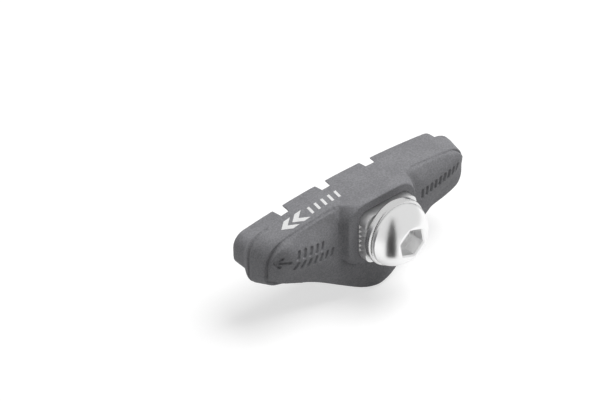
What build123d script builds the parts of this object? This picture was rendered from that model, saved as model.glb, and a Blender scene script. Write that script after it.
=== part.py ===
"""Road caliper brake pad for the left-hand side of a rim, with its fixing bolt.

+X points forward, +Y outboard to the bolt head and +Z up. The origin is on the bolt axis, in the plane
of the carrier's seat. Depths are counted inboard from that plane. All sizes are in millimetres.
"""

import math
import os

from build123d import *

# Pad as a whole
pad_length = 50.0
pad_lead = 0.85  # the middle of the pad lies this far ahead of the bolt axis
carrier_depth = 7.9  # from the seat to the parting line with the friction block
block_depth = 4.8  # from the parting line to the face that rubs on the rim

# Outline of the flange where the two mouldings meet
flange_top = 7.3
flange_top_radius = 120.0
flange_bottom = -7.2
flange_bottom_radius = 150.0
flange_top_corner = 4.2
flange_bottom_corner = 3.0

# Friction block
face_end_inset = 0.5  # the face is this much shorter than the flange at each end
face_lead = 0.15  # and lies this far ahead of it
face_top = 4.8
face_top_radius = 182.0
face_bottom = -4.5
face_bottom_radius = 240.0
face_top_corner = 2.8
face_bottom_corner = 2.2
rim_thickness = 0.4  # the block's own part of the flange
waist_depth = 1.5  # length of the hollow from the rim down to the block's sides
waist_steps = 4  # parts the hollow is drawn in
side_draft = 2.0  # lean of the block's sides, in degrees
groove_count = 3
groove_pitch = 10.8
groove_apex_x = -0.25  # apex of the middle groove
groove_apex_z = -0.2
groove_width = 2.4  # along the pad
groove_depth = 3.5
groove_draft = 5.0
groove_upper_lean = 44.6  # lean of each arm from upright, in degrees
groove_lower_lean = 35.0
core_hole_diameter = 4.0
core_hole_floor = 0.8  # compound left behind the hole

# Flange back, wings and belly of the carrier
end_taper = 1.0  # how much shorter the flange is at each end of its back
back_top_corner = 5.3
back_bottom = -6.4
back_bottom_radius = 97.0
back_bottom_corner = 2.5
crease_depth = 2.9  # from the seat to the top edge of the flange's back
crease_radius = 600.0  # bow of that edge, seen from above
crease_step = 0.3  # the wings start this far below the flange's top
flange_fall = 0.7  # how far the flange's back falls away round each end
wing_lift = 0.15  # how far the wings stand off the flange's back
wing_end_inset = 1.15  # the wings end this far inside the flange
wing_fall = 0.4  # how far the wings fall away round each end
wing_bulge = 4.2  # pull of the shoulder outboard of the crease, at the ends
wing_pull = 0.35  # pull of the flank above the lower edge, as a share of its height
wing_top_corner = 5.5
wing_bottom_corner = 4.0
wing_rise = 1.0  # how far the lower edge rises round each end
end_run = 5.0  # length of the rounded ends
end_flattening = 0.85  # share of the shoulder that is lost at the tip
flank_lean = 18.0  # lean of the flank at the ends, in degrees
keel_depth = 0.8  # from the seat to the lower edge of the belly, at its middle
keel_bottom = -14.3
belly_taper = 4.2  # how far the lower edge runs inboard towards the ends
belly_rise = 15.5  # and how far it rises
belly_front = 16.5  # from the bolt axis forward to where half of the rise is reached
belly_rear = 12.3  # and back to it
belly_tuck = 0.5  # the belly's underside meets the parting line this far inside the flange
station_count = 17  # sections through the wings
skin_overrun = 2.0  # how far the sections reach past the flange

# Seat
seat_length = 16.3
seat_lead = 0.5  # the middle of the seat lies this far ahead of the bolt axis
seat_step = 0.1  # the seat's top lies this far below the flange's
seat_bottom = -6.2
seat_corner = 4.1
seat_wall_lean = 25.0
seat_edge_radius = 0.25

# Threaded insert
insert_length = 12.4
insert_height = 10.4
insert_corner = 2.0
insert_proud = 1.8
foot_length = 15.0
foot_height = 11.2
foot_thickness = 2.0
foot_cover = 1.6  # carrier left over the foot
tooth_pitch = 1.05
tooth_width = 0.55

# Washer and bolt
thread_diameter = 6.0
thread_clearance = 0.1
washer_diameter = 13.4
washer_bore = 6.4
washer_thickness = 1.75
washer_edge_radius = 0.5
head_diameter = 12.5
head_height = 4.05
head_rim = 0.65  # upright edge under the dome
head_flat_diameter = 6.8
dome_radius = 5.8
socket_across_flats = 5.0
socket_depth = 2.6
socket_lip = 0.3
socket_turn = 20.0  # how far the bolt is turned, in degrees
shank_length = 8.2
shank_chamfer = 0.6
tip_clearance = 0.6  # room between the bolt's tip and the carrier

# Places that follow from the sizes above
half_length = pad_length / 2
wing_half = half_length - wing_end_inset
parting_plane = Plane.XZ.offset(carrier_depth)
face_plane = Plane.XZ.offset(carrier_depth + block_depth)
seat_top = flange_top - seat_step
head_seat = insert_proud + washer_thickness
tip_depth = shank_length - head_seat


def arc_drop(radius, run):
    """Fall of a round edge at a distance from its highest point."""
    return radius - math.sqrt(radius**2 - run**2)


def lens(lead, length, top, top_radius, top_corner, bottom, bottom_radius, bottom_corner):
    """Outline about a middle ahead of the bolt axis: bowed long edges, straight ends and rounded corners."""
    half = length / 2
    rear = lead - half
    front = lead + half
    high = top - arc_drop(top_radius, half)
    low = bottom + arc_drop(bottom_radius, half)
    with BuildSketch() as outline:
        with BuildLine():
            ThreePointArc((rear, high), (lead, top), (front, high))
            Line((front, high), (front, low))
            ThreePointArc((front, low), (lead, bottom), (rear, low))
            Line((rear, low), (rear, high))
        make_face()
        fillet(outline.vertices().group_by(Axis.Y)[-1], top_corner)
        fillet(outline.vertices().group_by(Axis.Y)[0], bottom_corner)
    return outline.sketch


flange_sizes = (
    pad_lead,
    pad_length,
    flange_top,
    flange_top_radius,
    flange_top_corner,
    flange_bottom,
    flange_bottom_radius,
    flange_bottom_corner,
)
back_sizes = (
    pad_lead,
    pad_length - 2 * end_taper,
    flange_top,
    flange_top_radius,
    back_top_corner,
    back_bottom,
    back_bottom_radius,
    back_bottom_corner,
)


def block_sizes(growth):
    """Sizes of the block's outline, grown all round from the face that rubs."""
    return (
        pad_lead + face_lead,
        pad_length - 2 * face_end_inset + 2 * growth,
        face_top + growth,
        face_top_radius,
        face_top_corner + growth,
        face_bottom - growth,
        face_bottom_radius,
        face_bottom_corner + growth,
    )


# Friction block: a rim that matches the carrier, a hollow waist and a drafted block with chevron grooves
waist_start = carrier_depth + rim_thickness
waist_end = waist_start + waist_depth
draft_growth = (carrier_depth + block_depth - waist_end) * math.tan(math.radians(side_draft))
groove_reach = flange_top - flange_bottom

with BuildPart() as friction_block:
    with BuildSketch(parting_plane):
        add(lens(*flange_sizes))
    extrude(amount=rim_thickness)
    for step in range(waist_steps + 1):
        share = step / waist_steps
        inset = (1 - math.cos(math.pi * share)) / 2
        sizes = [
            outer + (inner - outer) * inset for outer, inner in zip(flange_sizes, block_sizes(draft_growth))
        ]
        with BuildSketch(Plane.XZ.offset(waist_start + waist_depth * share)):
            add(lens(*sizes))
    loft()
    with BuildSketch(Plane.XZ.offset(waist_end)):
        add(lens(*block_sizes(draft_growth)))
    with BuildSketch(face_plane):
        add(lens(*block_sizes(0)))
    loft(ruled=True)

    upper_run = groove_reach * math.tan(math.radians(groove_upper_lean))
    lower_run = groove_reach * math.tan(math.radians(groove_lower_lean))
    with BuildSketch(face_plane):
        with Locations((groove_apex_x, groove_apex_z)):
            with GridLocations(groove_pitch, 0, groove_count, 1):
                Polygon(
                    (groove_width / 2, 0),
                    (upper_run + groove_width / 2, groove_reach),
                    (upper_run - groove_width / 2, groove_reach),
                    (-groove_width / 2, 0),
                    (lower_run - groove_width / 2, -groove_reach),
                    (lower_run + groove_width / 2, -groove_reach),
                    align=None,
                )
    extrude(amount=-groove_depth, taper=groove_draft, mode=Mode.SUBTRACT)
    with BuildSketch(face_plane):
        Circle(core_hole_diameter / 2)
    extrude(amount=core_hole_floor - block_depth, mode=Mode.SUBTRACT)

# Threaded insert: a foot held inside the carrier and a toothed head that carries the washer
with BuildPart() as threaded_insert:
    with BuildSketch(Plane.XZ.offset(foot_cover)):
        RectangleRounded(foot_length, foot_height, insert_corner)
    extrude(amount=foot_thickness)
    with BuildSketch(Plane.XZ):
        RectangleRounded(insert_length, insert_height, insert_corner)
    extrude(amount=foot_cover)
    with BuildSketch(Plane.XZ):
        RectangleRounded(insert_length, insert_height, insert_corner)
        tooth_count = int((insert_height - 2 * insert_corner) / tooth_pitch)
        with GridLocations(insert_length, tooth_pitch, 2, tooth_count):
            Rectangle(tooth_width, tooth_width, rotation=45, mode=Mode.SUBTRACT)
    extrude(amount=-insert_proud)
    with BuildSketch(Plane.XZ.offset(-insert_proud)):
        Circle((thread_diameter + thread_clearance) / 2)
    extrude(amount=insert_proud + foot_cover + foot_thickness, mode=Mode.SUBTRACT)

# Washer
with BuildPart() as washer:
    with BuildSketch(Plane.XZ.offset(-insert_proud)):
        Circle(washer_diameter / 2)
        Circle(washer_bore / 2, mode=Mode.SUBTRACT)
    extrude(amount=-washer_thickness)
    fillet(washer.edges().filter_by(GeomType.CIRCLE).group_by(SortBy.RADIUS)[-1], washer_edge_radius)

# Bolt, turned about its own axis, with its socket pressed in from the dome
with BuildPart() as fixing_bolt:
    with BuildSketch(Plane.XY):
        with BuildLine():
            Polyline(
                (head_flat_diameter / 2, head_seat + head_height),
                (0, head_seat + head_height),
                (0, -tip_depth),
                (thread_diameter / 2 - shank_chamfer, -tip_depth),
                (thread_diameter / 2, -tip_depth + shank_chamfer),
                (thread_diameter / 2, head_seat),
                (head_diameter / 2, head_seat),
                (head_diameter / 2, head_seat + head_rim),
            )
            RadiusArc(
                (head_diameter / 2, head_seat + head_rim),
                (head_flat_diameter / 2, head_seat + head_height),
                -dome_radius,
            )
        make_face()
    revolve(axis=Axis.Y)
    with BuildSketch(Plane.XZ.offset(-head_seat - head_height)):
        RegularPolygon(socket_across_flats / 2, 6, major_radius=False, rotation=socket_turn)
    extrude(amount=socket_depth, mode=Mode.SUBTRACT)
    mouth = fixing_bolt.faces().sort_by(Axis.Y)[-1].inner_wires()[0].edges()
    chamfer(mouth, socket_lip)


def end_share(offset):
    """How far into a wing's rounded end a station lies: 0 before the end, 1 at its tip."""
    return (max(0.0, abs(offset) - wing_half + end_run) / end_run) ** 2


def belly_share(offset):
    """How much of its way from the keel to the ends the lower edge has gone at a distance from the middle."""
    run = pad_lead + offset
    width = belly_front if run > 0 else belly_rear
    return run**2 / (run**2 + width**2)


def station_body(outline):
    """Body lofted along the pad through the outlines drawn at its stations, at right angles to it."""
    with BuildPart() as body:
        for station in range(station_count):
            turn = math.radians(180 * station / (station_count - 1) - 90)
            offset = half_length * math.sin(turn)
            with BuildSketch(Plane.YZ.offset(pad_lead + offset)):
                with BuildLine():
                    outline(offset)
                make_face()
        loft()
    return body.part


def crease_line(offset, fall):
    """Place of the crease across the pad at a distance from its middle."""
    return -crease_depth - arc_drop(crease_radius, offset) - fall * end_share(offset)


inboard = -carrier_depth - skin_overrun
above = flange_top + skin_overrun
below = keel_bottom - skin_overrun


def flange_outline(offset):
    """Everything inboard of the flange's back."""
    back = crease_line(offset, flange_fall) - wing_lift
    Polyline((back, above), (back, below), (inboard, below), (inboard, above), close=True)


def wing_outline(offset):
    """Everything inboard of the wing's skin and above its underside."""
    end = end_share(offset)
    crease = crease_line(offset, wing_fall)
    high = flange_top - arc_drop(flange_top_radius, offset) - crease_step
    inner = flange_bottom + arc_drop(flange_bottom_radius, offset) + belly_tuck
    low = keel_bottom + belly_rise * belly_share(offset) + wing_rise * end
    out = -keel_depth - belly_taper * belly_share(offset) - wing_fall * end
    growth = belly_share(offset) / belly_share(-half_length)
    lean = math.radians(flank_lean) * growth
    flank = Vector(math.sin(lean), math.cos(lean)) * wing_pull * (high - low)
    slope = (inner - low) / (out + carrier_depth)
    top = Vector(crease, high)
    edge = Vector(out, low)
    Bezier(top, top + Vector(wing_bulge * growth * (1 - end_flattening * end), 0), edge + flank, edge)
    Polyline(edge, (inboard, inner + slope * skin_overrun), (inboard, above), (crease, above), top)


# Seat: a flat rounded pad with sloping walls, trimmed by the pad's top face
with BuildPart() as seat:
    with BuildSketch(Plane.XZ) as seat_outline:
        seat_half = seat_length / 2
        side_top = seat_top - arc_drop(flange_top_radius, seat_half)
        with BuildLine():
            ThreePointArc(
                (seat_lead - seat_half, side_top), (seat_lead, seat_top), (seat_lead + seat_half, side_top)
            )
            Polyline(
                (seat_lead + seat_half, side_top),
                (seat_lead + seat_half, seat_bottom),
                (seat_lead - seat_half, seat_bottom),
                (seat_lead - seat_half, side_top),
            )
        make_face()
        fillet(seat_outline.vertices(), seat_corner)
    extrude(amount=carrier_depth / 2, taper=-seat_wall_lean)
    fillet(seat.faces().sort_by(Axis.Y)[-1].edges(), seat_edge_radius)
    with BuildSketch(parting_plane):
        add(lens(pad_lead, pad_length, seat_top, *flange_sizes[3:]))
    extrude(amount=-carrier_depth, mode=Mode.INTERSECT)

# Wings and belly: the flange's outline, a little shorter, carried outboard and down to the lofted skin
wing_sizes = (
    pad_lead,
    2 * wing_half,
    flange_top - crease_step / 2,
    flange_top_radius,
    wing_top_corner,
    below,
    flange_bottom_radius,
    wing_bottom_corner,
)
with BuildPart() as wings:
    with BuildSketch(parting_plane):
        add(lens(*wing_sizes))
    extrude(amount=-carrier_depth)
    add(station_body(wing_outline), mode=Mode.INTERSECT)

# Carrier: flange, wings, belly and seat in one moulding round the insert and the bolt
with BuildPart() as carrier:
    with BuildSketch(parting_plane):
        add(lens(*flange_sizes))
    with BuildSketch(Plane.XZ.offset(crease_depth)):
        add(lens(*back_sizes))
    loft(ruled=True)
    add(station_body(flange_outline), mode=Mode.INTERSECT)
    add(wings.part)
    add(seat.part)
    add(threaded_insert.part, mode=Mode.SUBTRACT)
    with BuildSketch(Plane.XZ):
        Circle((thread_diameter + thread_clearance) / 2)
    extrude(amount=tip_depth + tip_clearance, mode=Mode.SUBTRACT)

os.makedirs("parts", exist_ok=True)
pieces = {
    "friction_block": friction_block,
    "carrier": carrier,
    "threaded_insert": threaded_insert,
    "washer": washer,
    "fixing_bolt": fixing_bolt,
}
for name, piece in pieces.items():
    piece.part.label = name
    export_step(piece.part, f"parts/{name}.step")
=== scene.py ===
"""Looks of a road caliper brake pad: moulded rubber on a plated steel bolt, washer and insert.

The two rubber mouldings get a skin with the soft edges and the sunk marks of their mould.
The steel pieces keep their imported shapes. Lengths are written in millimetres and turned to metres by MM.
"""

import math

import bmesh
import bpy
from mathutils import Matrix, Vector
from mathutils.bvhtree import BVHTree
from mathutils.kdtree import KDTree


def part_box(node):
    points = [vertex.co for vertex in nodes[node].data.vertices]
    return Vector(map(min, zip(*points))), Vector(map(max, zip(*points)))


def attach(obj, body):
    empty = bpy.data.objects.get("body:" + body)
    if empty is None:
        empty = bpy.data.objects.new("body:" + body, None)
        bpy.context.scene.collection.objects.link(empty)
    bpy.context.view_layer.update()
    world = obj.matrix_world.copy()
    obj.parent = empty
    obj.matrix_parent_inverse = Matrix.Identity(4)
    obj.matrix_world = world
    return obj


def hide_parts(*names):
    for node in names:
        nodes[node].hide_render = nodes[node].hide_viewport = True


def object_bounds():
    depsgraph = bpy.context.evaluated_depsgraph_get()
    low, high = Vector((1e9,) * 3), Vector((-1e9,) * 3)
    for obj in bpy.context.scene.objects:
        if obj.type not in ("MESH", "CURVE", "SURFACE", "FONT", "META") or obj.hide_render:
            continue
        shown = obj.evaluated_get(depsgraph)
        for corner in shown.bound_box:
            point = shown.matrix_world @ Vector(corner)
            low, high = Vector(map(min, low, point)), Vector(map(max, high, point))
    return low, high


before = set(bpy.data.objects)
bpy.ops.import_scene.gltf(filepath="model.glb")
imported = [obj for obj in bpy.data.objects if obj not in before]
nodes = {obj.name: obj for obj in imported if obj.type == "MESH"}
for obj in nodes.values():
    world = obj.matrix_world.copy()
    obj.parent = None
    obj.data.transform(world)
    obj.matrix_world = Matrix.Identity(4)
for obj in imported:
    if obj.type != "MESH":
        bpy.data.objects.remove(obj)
cad_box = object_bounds()

MM = 0.001
WELD = 0.001  # points closer than this are one point

# Camera: the long lens of a product shot, above and in front of the pad on its bolt side
VIEW_AZIMUTH = 139.440
VIEW_ELEVATION = 36.690
VIEW_ROLL = -1.023
VIEW_DISTANCE = 720.0
VIEW_SIDE = -15.402  # how far the eye lies to the right of the line through the bolt axis
VIEW_RISE = 4.402  # and how far above it
SENSOR_WIDTH = 36.0
LENS = 237.17
CLIP_START = 1.0
CLIP_END = 10000.0

# Colours
RUBBER_GREY = "#77777a"
RUBBER_DUST = "#8b8b8e"
COMPOUND_GREY = "#767679"
COMPOUND_DUST = "#8a8a8d"
PLATED_STEEL = "#f3f3f3"
TURNED_STEEL = "#e0e0e0"
TOOTHED_STEEL = "#e6e6e6"
PRINT_WHITE = "#e2e2e2"
FLOOR_WHITE = "#b4b4b4"
CARD_GREY = "#3a3a3a"

# Patterns in the materials
BLOOM_SIZE = 5.0  # clouds of dust on the rubber
GRAIN_SIZE = 0.32  # the mould's etched grain is about 0.1, and is drawn three times as coarse to show
INK_GRAIN_SIZE = 0.4  # the same grain where it shows through the ink
RIPPLE_SIZE = 1.2  # waves in the steel's plate
RING_RADIAN = 0.3  # turning leaves rings 0.1 apart, too fine to show: they are drawn at 0.3 to a radian
WAVE_RADIANS = 20  # a wave texture runs through this many radians in each unit of its scale
STEEL_EDGE = 0.12  # rounding of the steel's edges

# Rubber skin
SKIN_GRID = 0.17  # spacing of the skin's points
SMOOTHING = 0.5  # how far one smoothing pass takes a point towards the middle of its neighbours
EDGE_PASSES = 4  # smoothing passes, which round the mould's edges to about 0.3
PARTING_STEP = 0.3  # the skins part this far beyond the carrier's face, clear of its rounded step

# Blends larger than the mould's edges: lowest corner, highest corner and smoothing passes
BLENDS = {
    "belly": ((-16, -9, -15), (16, 2, -7.0), 12),
    "rear_flank": ((-23.5, -6.0, -7), (-11, 0, 0.3), 30),
    "forward_hollow": ((8.85, -4, -8), (13, 0, 5.4), 30),
    "rear_hollow": ((-12, -4, -8), (-8, 0, 5.4), 12),
}

# Trim: the belly's thin lower edge is cut along an even line, as moulding flash is
TRIM_HEIGHT = 0.3
TRIM_STEP = 0.3  # the line is drawn from the lowest point in each step along the pad
TRIM_REACH = 4  # and evened out over this many steps to each side
TRIM_SPAN = (17.0, 20.0)  # it fades out between these distances from the bolt axis
TRIM_PASSES = 2

# Wing shoulders: towards the crease the wings lean back to the flange
WING_ROOT = -2.9  # the flange's back, from the seat's plane
SHOULDER_LEAN = 0.95  # share of the wing's depth that is gone at the crease
SHOULDER_DROP = 5.0  # how far below the top it starts
SHOULDER_START = (9.5, 12.5)  # it fades in between these distances from the bolt axis
SHOULDER_END = (17.0, 22.0)  # and out again towards the ends
TOP_RADIUS = 120.0

# Swell: the forward wing is fuller at its middle
WING_SWELL = 0.75
SWELL_MIDDLE = -0.3  # its height on the wing
SWELL_HALF = 6.2  # it is gone this far above and below
SWELL_START = (10.0, 17.0)
SWELL_END = (19.0, 24.5)
SWELL_PROUD = 1.0  # it is less where the wing stands out less than this

# Creases: fine lines along the inner corners of the wings and under the seat
CREASE_START = 9.5  # distance of the wings' creases from the bolt axis
CREASE_ANGLE = 15.0  # least angle of a corner that is drawn
CREASE_HALF = 0.34
CREASE_DEPTH = 0.26
FORWARD_CREASE_LOW = -3.7  # the forward crease stops short of the lower edge
REAR_CREASE_LOW = 2.0  # the rear wing blends into the flange below this height
SEAT_FOOT_HALF = 8.8
SEAT_FOOT_TOP = -4.5
RIM_START = 21.5  # the block's rim shows as a crease only at its ends
RIM_FLATNESS = 0.01

# Sunk marks: an arrow and plain bars, as strokes with u forward and v up from a place on the wing
SUNK_WIDTH = 0.6
SUNK_DEPTH = 0.4
SUNK_RAMP = 0.2
WING_FACING = 0.5  # marks are sunk where the skin faces outboard at least this much
WING_BACK = -5.0  # and lies further outboard than this
WING_MARK_PLACE = (16.0, 0.5)  # forward and up from the bolt axis
WING_MARK_TILT = 8.5
REAR_MARK_PLACE = (-15.4, 1.2)
REAR_MARK_TILT = -8.5
ARROW_TIP = (7.9, -0.1)
ARROW_SHAFT = 2.6
ARROW_BARB = 1.0
BAR_LEAN = -0.25

# Printed marks on the carrier's top: u forward and v towards the block from this place
PRINT_PLACE = (13.0, -5.6)
PRINT_FILM = 0.02
PRINT_STEPS = 6  # facets along each side of a patch of ink
PRINT_ABOVE = 20.0  # height from which the ink is dropped on the rubber
CHEVRON_TIPS = (6.9, 4.3)
CHEVRON_RUN = 1.7
CHEVRON_HALF = 1.35
CHEVRON_WEIGHT = 1.5
TICK_FIRST = -0.2
TICK_PITCH = 1.6
TICK_COUNT = 5
TICK_WIDTH = 0.55
TICK_HALF = 0.95
TICK_LEAN = 0.35

# Studio
FLOOR_HALF = 2500.0
FLOOR_GAP = 0.2  # the floor lies this far below the pad
FLOOR_GLOW = 0.6
WORLD_FILL = 0.18
KEY_PLACE = (-210, 110, 560)
KEY_SIZE = 450
KEY_POWER = 4.2
END_PLACE = (250, -480, 120)
END_SIZE = 300
END_POWER = 0.9

# Dark card on the camera's side, which leans away from the bolt
CARD_AZIMUTH = 53.0
CARD_FOOT_DISTANCE = 14.0
CARD_HEAD_DISTANCE = 24.0
CARD_FOOT_HALF = 3.5
CARD_HEAD_HALF = 2.4
CARD_HEIGHT = 92.0


def linear(hex_colour):
    """sRGB hex colour as the linear colour that sockets take."""
    parts = [int(hex_colour[i:i + 2], 16) / 255 for i in (1, 3, 5)]
    return [p / 12.92 if p <= 0.04045 else ((p + 0.055) / 1.055) ** 2.4 for p in parts] + [1.0]


def smooth_share(value, start, end):
    """0 before start, 1 after end, and an even S between them."""
    share = max(0.0, min(1.0, (value - start) / (end - start)))
    return share * share * (3 - 2 * share)


def add_node(tree, kind, values=None, links=None, **settings):
    """A node with its settings, socket values and the sockets that feed it."""
    node = tree.nodes.new(kind)
    for name, value in settings.items():
        setattr(node, name, value)
    for name, value in (values or {}).items():
        node.inputs[name].default_value = value
    for name, source in (links or {}).items():
        tree.links.new(source, node.inputs[name])
    return node


def new_material(name):
    """An empty node material, with its tree and shader."""
    material = bpy.data.materials.new(name)
    material.use_nodes = True
    tree = material.node_tree
    tree.nodes.clear()
    shader = add_node(tree, "ShaderNodeBsdfPrincipled")
    add_node(tree, "ShaderNodeOutputMaterial", links={"Surface": shader.outputs["BSDF"]})
    return material, tree, shader


def new_piece(name, mesh, finish):
    """A piece in the scene, with its mesh and finish."""
    mesh.materials.append(finish)
    piece = bpy.data.objects.new(name, mesh)
    bpy.context.scene.collection.objects.link(piece)
    return piece


def per_metre(size_mm):
    """Texture scale at which one feature is about this long."""
    return 1 / (size_mm * MM)


# Materials
def moulded_rubber(name, colour, dust, roughness):
    """Matte rubber from an etched mould: a fine even grain and a cloudy bloom of dust."""
    material, tree, shader = new_material(name)
    place = add_node(tree, "ShaderNodeTexCoord").outputs["Object"]
    bloom = add_node(
        tree, "ShaderNodeTexNoise",
        {"Scale": per_metre(BLOOM_SIZE), "Detail": 4.0, "Roughness": 0.6}, {"Vector": place},
    )
    grain = add_node(
        tree, "ShaderNodeTexNoise",
        {"Scale": per_metre(GRAIN_SIZE), "Detail": 2.0, "Roughness": 0.7}, {"Vector": place},
    )
    cloud = add_node(
        tree, "ShaderNodeMapRange",
        {"From Min": 0.3, "From Max": 0.7, "To Min": 0.2, "To Max": 0.8}, {"Value": bloom.outputs["Fac"]},
    )
    specks = add_node(
        tree, "ShaderNodeMapRange",
        {"From Min": 0.3, "From Max": 0.7, "To Min": -0.7, "To Max": 0.7}, {"Value": grain.outputs["Fac"]},
    )
    share = add_node(
        tree, "ShaderNodeMath", links={0: cloud.outputs["Result"], 1: specks.outputs["Result"]},
        operation="ADD", use_clamp=True,
    )
    tint = add_node(
        tree, "ShaderNodeMix", {"A": linear(colour), "B": linear(dust)}, {"Factor": share.outputs["Value"]},
        data_type="RGBA",
    )
    tree.links.new(tint.outputs["Result"], shader.inputs["Base Color"])
    bump = add_node(
        tree, "ShaderNodeBump", {"Strength": 0.35, "Distance": 0.05 * MM}, {"Height": grain.outputs["Fac"]}
    )
    tree.links.new(bump.outputs["Normal"], shader.inputs["Normal"])
    shader.inputs["Roughness"].default_value = roughness
    shader.inputs["IOR"].default_value = 1.5
    return material


def plated_steel(name, colour, roughness):
    """Bright plate on turned steel: a soft white mirror with rings round the bolt axis and ripples."""
    material, tree, shader = new_material(name)
    place = add_node(tree, "ShaderNodeTexCoord").outputs["Object"]
    ripple = add_node(
        tree, "ShaderNodeTexNoise", {"Scale": per_metre(RIPPLE_SIZE), "Detail": 3.0}, {"Vector": place}
    )
    rings = add_node(
        tree, "ShaderNodeTexWave",
        {"Scale": per_metre(RING_RADIAN) / WAVE_RADIANS, "Distortion": 0.4, "Detail": 1.0},
        {"Vector": place}, wave_type="RINGS", rings_direction="Y",
    )
    rough = add_node(
        tree, "ShaderNodeMapRange", {"To Min": roughness * 0.8, "To Max": roughness * 1.2},
        {"Value": ripple.outputs["Fac"]},
    )
    tree.links.new(rough.outputs["Result"], shader.inputs["Roughness"])
    shader.inputs["Base Color"].default_value = linear(colour)
    shader.inputs["Metallic"].default_value = 1.0
    soft_edge = add_node(tree, "ShaderNodeBevel", {"Radius": STEEL_EDGE * MM}, samples=6)
    turned = add_node(
        tree, "ShaderNodeBump", {"Strength": 0.03, "Distance": 0.02 * MM},
        {"Height": rings.outputs["Fac"], "Normal": soft_edge.outputs["Normal"]},
    )
    rippled = add_node(
        tree, "ShaderNodeBump", {"Strength": 0.05, "Distance": 0.02 * MM},
        {"Height": ripple.outputs["Fac"], "Normal": turned.outputs["Normal"]},
    )
    tree.links.new(rippled.outputs["Normal"], shader.inputs["Normal"])
    return material


def printed_ink(name, colour):
    """Pad-printed white ink: flat and matte, a little thin where the rubber's grain shows through."""
    material, tree, shader = new_material(name)
    place = add_node(tree, "ShaderNodeTexCoord").outputs["Object"]
    thin = add_node(
        tree, "ShaderNodeTexNoise",
        {"Scale": per_metre(INK_GRAIN_SIZE), "Detail": 2.0, "Roughness": 0.7}, {"Vector": place},
    )
    cover = add_node(
        tree, "ShaderNodeMapRange",
        {"From Min": 0.25, "From Max": 0.45, "To Min": 0.75, "To Max": 1.0}, {"Value": thin.outputs["Fac"]},
    )
    tint = add_node(
        tree, "ShaderNodeMix", {"A": linear(RUBBER_DUST), "B": linear(colour)},
        {"Factor": cover.outputs["Result"]}, data_type="RGBA",
    )
    tree.links.new(tint.outputs["Result"], shader.inputs["Base Color"])
    shader.inputs["Roughness"].default_value = 0.6
    return material


rubber = moulded_rubber("moulded_rubber", RUBBER_GREY, RUBBER_DUST, roughness=0.72)
compound = moulded_rubber("friction_compound", COMPOUND_GREY, COMPOUND_DUST, roughness=0.76)
ink = printed_ink("printed_ink", PRINT_WHITE)
steel_finishes = {
    "threaded_insert": plated_steel("toothed_plated_steel", TOOTHED_STEEL, roughness=0.4),
    "washer": plated_steel("turned_plated_steel", TURNED_STEEL, roughness=0.25),
    "fixing_bolt": plated_steel("bright_plated_steel", PLATED_STEEL, roughness=0.3),
}
for node_name, finish in steel_finishes.items():
    node = nodes[node_name]
    node.data.materials.clear()
    node.data.materials.append(finish)


# Sunk marks
def bar_row(first, pitch, count, height):
    """Short parallel bars side by side, from the first bar's foot rearwards."""
    feet = [(first[0] - pitch * i, first[1]) for i in range(count)]
    return [(foot, (foot[0] + BAR_LEAN, foot[1] + height)) for foot in feet]


def placed(strokes, place, tilt):
    """Strokes turned and moved from their own frame to the pad's."""
    turn = Matrix.Rotation(math.radians(tilt), 2)
    return [tuple(turn @ Vector(end) + Vector(place) for end in stroke) for stroke in strokes]


tip_u, tip_v = ARROW_TIP
arrow = [(ARROW_TIP, (tip_u - ARROW_SHAFT, tip_v))]
arrow += [(ARROW_TIP, (tip_u - ARROW_BARB, tip_v + side * ARROW_BARB)) for side in (1, -1)]
wing_bars = bar_row((3.9, 0.5), pitch=1.45, count=5, height=1.35)
wing_bars += bar_row((3.9, -1.9), pitch=1.45, count=7, height=1.35)
rear_bars = bar_row((4.6, -0.8), pitch=1.15, count=9, height=1.6)
sunk_strokes = placed(arrow + wing_bars, WING_MARK_PLACE, WING_MARK_TILT)
sunk_strokes += placed(rear_bars, REAR_MARK_PLACE, REAR_MARK_TILT)


def stroke_gap(point):
    """Distance from a point of the wing to the edge of the nearest stroke, less than nothing inside one."""
    flat = Vector((point.x, point.z)) / MM
    gaps = []
    for start, end in sunk_strokes:
        run = end - start
        along = max(0.0, min(1.0, (flat - start).dot(run) / run.length_squared))
        gaps.append((flat - start - run * along).length)
    return min(gaps) - SUNK_WIDTH / 2


def on_wing(normal, place):
    """Whether the skin faces outboard here and lies far enough outboard to be marked."""
    return normal.y > WING_FACING and place.y > WING_BACK * MM


def sink_marks(skin):
    """Sinks the carrier's skin against its normals under each stroke, with a steep ramp at its edges."""
    facing = [f for f in skin.faces if on_wing(f.normal, f.calc_center_median())]
    reach = 2 * SKIN_GRID + SUNK_RAMP
    close = [f for f in facing if stroke_gap(f.calc_center_median()) < reach]
    edges = list({e for f in close for e in f.edges})
    bmesh.ops.subdivide_edges(skin, edges=edges, cuts=1, use_grid_fill=True)
    skin.normal_update()
    for v in skin.verts:
        if on_wing(v.normal, v.co):
            share = smooth_share(-stroke_gap(v.co), -SUNK_RAMP / 2, SUNK_RAMP / 2)
            v.co -= v.normal * share * SUNK_DEPTH * MM
    skin.normal_update()


# Rubber skins
def ease_blends(skin):
    """Smooths the skin inside each blend's box, where the rubber flows from one form to the next."""
    for low, high, passes in BLENDS.values():
        inside = [v for v in skin.verts if all(a <= c / MM <= b for a, c, b in zip(low, v.co, high))]
        for _ in range(passes):
            bmesh.ops.smooth_vert(
                skin, verts=inside, factor=SMOOTHING, use_axis_x=True, use_axis_y=True, use_axis_z=True
            )


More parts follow.
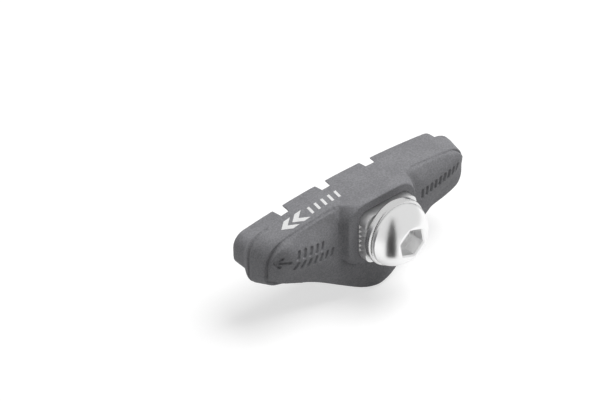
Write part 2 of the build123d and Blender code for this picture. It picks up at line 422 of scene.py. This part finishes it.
def trim_belly(skin):
    """Takes the ragged knife edge off the underside along the smoothed line of its lowest points."""
    lowest_at = {}
    for v in skin.verts:
        step = math.floor(v.co.x / MM / TRIM_STEP)
        lowest_at[step] = min(lowest_at.get(step, v.co.z / MM), v.co.z / MM)
    line = {}
    for step in lowest_at:
        steps = range(step - TRIM_REACH, step + TRIM_REACH + 1)
        near = [lowest_at[s] for s in steps if s in lowest_at]
        line[step] = sum(near) / len(near)
    trimmed = []
    for v in skin.verts:
        # The line's points stand at the middles of the steps
        place = v.co.x / MM / TRIM_STEP - 0.5
        step = math.floor(place)
        if step in line and step + 1 in line:
            share = place - step
            height = TRIM_HEIGHT * (1 - smooth_share(abs(v.co.x / MM), *TRIM_SPAN))
            edge = line[step] * (1 - share) + line[step + 1] * share + height
            if height > 0 and v.co.z / MM < edge:
                v.co.z = edge * MM
                trimmed.append(v)
    for _ in range(TRIM_PASSES):
        bmesh.ops.smooth_vert(
            skin, verts=trimmed, factor=SMOOTHING, use_axis_x=True, use_axis_y=True, use_axis_z=False
        )


def round_wings(skin):
    """Leans the wings back towards the crease and swells the forward one, so its top faces the light."""
    carrier_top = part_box("carrier")[1].z / MM
    for v in skin.verts:
        x, y, z = v.co / MM
        proud = y - WING_ROOT
        if proud > 0:
            top = carrier_top - TOP_RADIUS + math.sqrt(TOP_RADIUS ** 2 - x ** 2)
            rise = max(0.0, min(1.0, 1 - (top - z) / SHOULDER_DROP))
            along = smooth_share(abs(x), *SHOULDER_START) * (1 - smooth_share(abs(x), *SHOULDER_END))
            lean = SHOULDER_LEAN * rise ** 2 * along
            height = max(0.0, 1 - ((z - SWELL_MIDDLE) / SWELL_HALF) ** 2)
            reach = smooth_share(x, *SWELL_START) * (1 - smooth_share(x, *SWELL_END))
            swell = WING_SWELL * height ** 2 * reach * min(1.0, proud / SWELL_PROUD)
            v.co.y = (y - proud * lean + swell) * MM


def edge_points(edges):
    """Points along these edges, closer together than the skin's."""
    points = []
    for edge in edges:
        first, second = (v.co for v in edge.verts)
        steps = max(1, math.ceil((second - first).length / (SKIN_GRID * MM / 2)))
        points += [first.lerp(second, i / steps) for i in range(steps + 1)]
    return points


def crease_points():
    """Points along the carrier's inner corners, and along the block's rim at the flange's ends."""
    solid = bmesh.new()
    solid.from_mesh(nodes["carrier"].data)
    bmesh.ops.remove_doubles(solid, verts=solid.verts[:], dist=WELD * MM)
    bends = {e: math.degrees(e.calc_face_angle_signed()) for e in solid.edges if e.is_manifold}
    inner = edge_points([e for e, bend in bends.items() if bend < -CREASE_ANGLE])
    points = [p for p in inner if p.x > CREASE_START * MM and p.z > FORWARD_CREASE_LOW * MM]
    points += [p for p in inner if p.x < -CREASE_START * MM and p.z > REAR_CREASE_LOW * MM]
    points += [p for p in inner if abs(p.x) < SEAT_FOOT_HALF * MM and p.z < SEAT_FOOT_TOP * MM]
    solid.clear()
    solid.from_mesh(nodes["friction_block"].data)
    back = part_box("friction_block")[1].y
    rim = [e for e in solid.edges if e.is_boundary or math.degrees(e.calc_face_angle(0)) > CREASE_ANGLE]
    rim = [e for e in rim if all(abs(v.co.y - back) < RIM_FLATNESS * MM for v in e.verts)]
    points += [p for p in edge_points(rim) if abs(p.x) > RIM_START * MM]
    solid.free()
    return points


def draw_creases(skin):
    """Sinks a fine line in the skin along each crease."""
    points = crease_points()
    tree = KDTree(len(points))
    for i, point in enumerate(points):
        tree.insert(point, i)
    tree.balance()
    for v in skin.verts:
        gap = tree.find(v.co)[2] / MM
        v.co -= v.normal * (1 - smooth_share(gap, 0, CREASE_HALF)) * CREASE_DEPTH * MM


def evaluated_mesh(piece):
    """The piece's mesh with its modifiers applied."""
    return bpy.data.meshes.new_from_object(piece.evaluated_get(bpy.context.evaluated_depsgraph_get()))


def fused_rubber():
    """Both mouldings as one skin of even points, with the soft edges of the mould."""
    joined = bmesh.new()
    for name in ("carrier", "friction_block"):
        joined.from_mesh(nodes[name].data)
    mesh = bpy.data.meshes.new("fused_rubber")
    joined.to_mesh(mesh)
    joined.free()
    solids = bpy.data.objects.new("solid_rubber", mesh)
    fused = bpy.data.objects.new("fused_rubber", mesh)
    for shape in (solids, fused):
        bpy.context.scene.collection.objects.link(shape)
    remesh = fused.modifiers.new("even_points", "REMESH")
    remesh.mode = "VOXEL"
    remesh.voxel_size = SKIN_GRID * MM
    draw_back = fused.modifiers.new("true_surface", "SHRINKWRAP")
    draw_back.target = solids
    draw_back.wrap_method = "NEAREST_SURFACEPOINT"
    soften = fused.modifiers.new("soft_edges", "SMOOTH")
    soften.factor = SMOOTHING
    soften.iterations = EDGE_PASSES
    skin = evaluated_mesh(fused)
    bpy.data.objects.remove(fused)
    bpy.data.objects.remove(solids)
    return skin


def rubber_skin(name, fused, side, finish, marked):
    """The part of the fused skin on one side of the parting plane, closed at that plane."""
    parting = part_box("carrier")[0].y - PARTING_STEP * MM
    skin = bmesh.new()
    skin.from_mesh(fused)
    cut = bmesh.ops.bisect_plane(
        skin, geom=skin.verts[:] + skin.edges[:] + skin.faces[:], dist=WELD * MM,
        plane_co=(0, parting, 0), plane_no=(0, side, 0), clear_inner=True,
    )
    rim = [e for e in cut["geom_cut"] if isinstance(e, bmesh.types.BMEdge)]
    bmesh.ops.triangle_fill(skin, edges=rim, use_beauty=True, normal=(0, -side, 0))
    skin.normal_update()
    if marked:
        ease_blends(skin)
        trim_belly(skin)
        round_wings(skin)
        skin.normal_update()
        draw_creases(skin)
        skin.normal_update()
        sink_marks(skin)
    for face in skin.faces:
        face.smooth = True
    for edge in rim:
        if edge.is_valid:
            edge.smooth = False
    mesh = bpy.data.meshes.new(name)
    skin.to_mesh(mesh)
    skin.free()
    return new_piece(name, mesh, finish)


fused = fused_rubber()
carrier_skin = rubber_skin("carrier_moulding", fused, 1, rubber, marked=True)
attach(carrier_skin, "root")
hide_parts("carrier")
block_skin = rubber_skin("block_moulding", fused, -1, compound, marked=False)
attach(block_skin, "root")
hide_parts("friction_block")


# Printed marks
def print_film(name, patches):
    """Patches of ink with four corners each, laid on the carrier's top."""
    surface = BVHTree.FromObject(carrier_skin, bpy.context.evaluated_depsgraph_get())
    film = bmesh.new()
    for patch in patches:
        first, second, third, fourth = [Vector(corner) for corner in patch]
        grid = []
        for i in range(PRINT_STEPS + 1):
            near = first.lerp(second, i / PRINT_STEPS)
            far = fourth.lerp(third, i / PRINT_STEPS)
            row = []
            for k in range(PRINT_STEPS + 1):
                u, v = near.lerp(far, k / PRINT_STEPS)
                above = Vector((PRINT_PLACE[0] + u, PRINT_PLACE[1] - v, PRINT_ABOVE)) * MM
                place = surface.ray_cast(above, Vector((0, 0, -1)))[0]
                row.append(film.verts.new(place + Vector((0, 0, PRINT_FILM * MM))))
            grid.append(row)
        for i in range(PRINT_STEPS):
            for k in range(PRINT_STEPS):
                film.faces.new((grid[i][k], grid[i + 1][k], grid[i + 1][k + 1], grid[i][k + 1]))
    bmesh.ops.remove_doubles(film, verts=film.verts[:], dist=WELD * MM)
    bmesh.ops.recalc_face_normals(film, faces=film.faces[:])
    mesh = bpy.data.meshes.new(name)
    film.to_mesh(mesh)
    film.free()
    piece = new_piece(name, mesh, ink)
    thicken = piece.modifiers.new("film", "SOLIDIFY")
    thicken.thickness = 2 * PRINT_FILM * MM
    return piece


def chevron_arm(tip, side):
    """One arm of a bold chevron that points forward, mitred at the tip where it meets the other."""
    heel = tip - CHEVRON_RUN
    end = side * CHEVRON_HALF
    return [(tip, 0), (tip - CHEVRON_WEIGHT, 0), (heel - CHEVRON_WEIGHT, end), (heel, end)]


def tick(foot):
    """A fine upright bar that leans with the chevrons' rear edges."""
    return [
        (foot, -TICK_HALF), (foot + TICK_WIDTH, -TICK_HALF),
        (foot + TICK_WIDTH - TICK_LEAN, TICK_HALF), (foot - TICK_LEAN, TICK_HALF),
    ]


print_patches = [chevron_arm(tip, side) for tip in CHEVRON_TIPS for side in (-1, 1)]
print_patches += [tick(TICK_FIRST - TICK_PITCH * i) for i in range(TICK_COUNT)]
printed_marks = print_film("printed_marks", print_patches)
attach(printed_marks, "root")


# Studio
def seen_rays(tree):
    """1 for rays from the camera, off a mirror or through glass, 0 for the rays that carry light."""
    path = add_node(tree, "ShaderNodeLightPath")
    first = add_node(
        tree, "ShaderNodeMath",
        links={0: path.outputs["Is Camera Ray"], 1: path.outputs["Is Glossy Ray"]}, operation="MAXIMUM",
    )
    return add_node(
        tree, "ShaderNodeMath",
        links={0: first.outputs["Value"], 1: path.outputs["Is Transmission Ray"]}, operation="MAXIMUM",
    ).outputs["Value"]


# Matte paper: a plain floor that looks white and keeps the pad's soft shadow
floor_paint, tree, shader = new_material("matte_paper")
shader.inputs["Base Color"].default_value = linear(FLOOR_WHITE)
shader.inputs["Roughness"].default_value = 0.9
shader.inputs["Emission Color"].default_value = (1, 1, 1, 1)
glow = add_node(tree, "ShaderNodeMath", {1: FLOOR_GLOW}, {0: seen_rays(tree)}, operation="MULTIPLY")
tree.links.new(glow.outputs["Value"], shader.inputs["Emission Strength"])
lowest = cad_box[0].z
floor_level = lowest - FLOOR_GAP * MM
corners = [(-1, -1), (1, -1), (1, 1), (-1, 1)]
floor_corners = [(x * FLOOR_HALF * MM, y * FLOOR_HALF * MM, floor_level) for x, y in corners]
floor_mesh = bpy.data.meshes.new("floor")
floor_mesh.from_pydata(floor_corners, [], [(0, 1, 2, 3)])
floor = new_piece("floor", floor_mesh, floor_paint)

# Matte card: seen only in the steel, where it makes the dome's upright streak
card_paint, tree, shader = new_material("matte_card")
shader.inputs["Base Color"].default_value = linear(CARD_GREY)
shader.inputs["Roughness"].default_value = 0.9
card_out = Vector((math.cos(math.radians(CARD_AZIMUTH)), math.sin(math.radians(CARD_AZIMUTH)), 0))
card_along = Vector((-card_out.y, card_out.x, 0))
card_foot = card_out * CARD_FOOT_DISTANCE * MM + Vector((0, 0, lowest))
card_head = card_out * CARD_HEAD_DISTANCE * MM + Vector((0, 0, lowest + CARD_HEIGHT * MM))
card_corners = [card_foot + card_along * side * CARD_FOOT_HALF * MM for side in (-1, 1)]
card_corners += [card_head + card_along * side * CARD_HEAD_HALF * MM for side in (1, -1)]
card_mesh = bpy.data.meshes.new("dark_card")
card_mesh.from_pydata(card_corners, [], [(0, 1, 2, 3)])
card = new_piece("dark_card", card_mesh, card_paint)
card.visible_camera = False
card.visible_diffuse = False
card.visible_shadow = False

world = bpy.data.worlds.new("studio")
bpy.context.scene.world = world
world.use_nodes = True
tree = world.node_tree
tree.nodes.clear()
backdrop_level = add_node(
    tree, "ShaderNodeMapRange", {"To Min": WORLD_FILL, "To Max": 1.0}, {"Value": seen_rays(tree)}
)
backdrop = add_node(tree, "ShaderNodeBackground", links={"Strength": backdrop_level.outputs["Result"]})
add_node(tree, "ShaderNodeOutputWorld", links={"Surface": backdrop.outputs["Background"]})


def soft_box(name, place, size, power):
    """A square soft box at this place, aimed at the pad and not seen in the steel."""
    lamp = bpy.data.lights.new(name, "AREA")
    lamp.shape = "SQUARE"
    lamp.size = size * MM
    lamp.energy = power
    box = bpy.data.objects.new(name, lamp)
    box.location = Vector(place) * MM
    box.rotation_euler = (-box.location).to_track_quat("-Z", "Y").to_euler()
    bpy.context.scene.collection.objects.link(box)
    box.visible_glossy = False


soft_box("key_box", KEY_PLACE, KEY_SIZE, KEY_POWER)
soft_box("end_box", END_PLACE, END_SIZE, END_POWER)

# Camera
camera_data = bpy.data.cameras.new("camera")
camera = bpy.data.objects.new("camera", camera_data)
bpy.context.scene.collection.objects.link(camera)
bpy.context.scene.camera = camera
azimuth = math.radians(VIEW_AZIMUTH)
elevation = math.radians(VIEW_ELEVATION)
level = Vector((math.cos(azimuth), math.sin(azimuth), 0))
inward = Vector((-math.sin(azimuth), math.cos(azimuth), 0))
upright = inward * math.sin(elevation) + Vector((0, 0, math.cos(elevation)))
back = level.cross(upright)
roll = math.radians(VIEW_ROLL)
right = level * math.cos(roll) + upright * math.sin(roll)
up = back.cross(right)
camera.location = (back * VIEW_DISTANCE + right * VIEW_SIDE + up * VIEW_RISE) * MM
camera.rotation_mode = "QUATERNION"
camera.rotation_quaternion = Matrix((right, up, back)).transposed().to_quaternion()
camera_data.sensor_width = SENSOR_WIDTH
camera_data.lens = LENS
camera_data.clip_start = CLIP_START * MM
camera_data.clip_end = CLIP_END * MM

bpy.context.scene.view_settings.view_transform = "Standard"
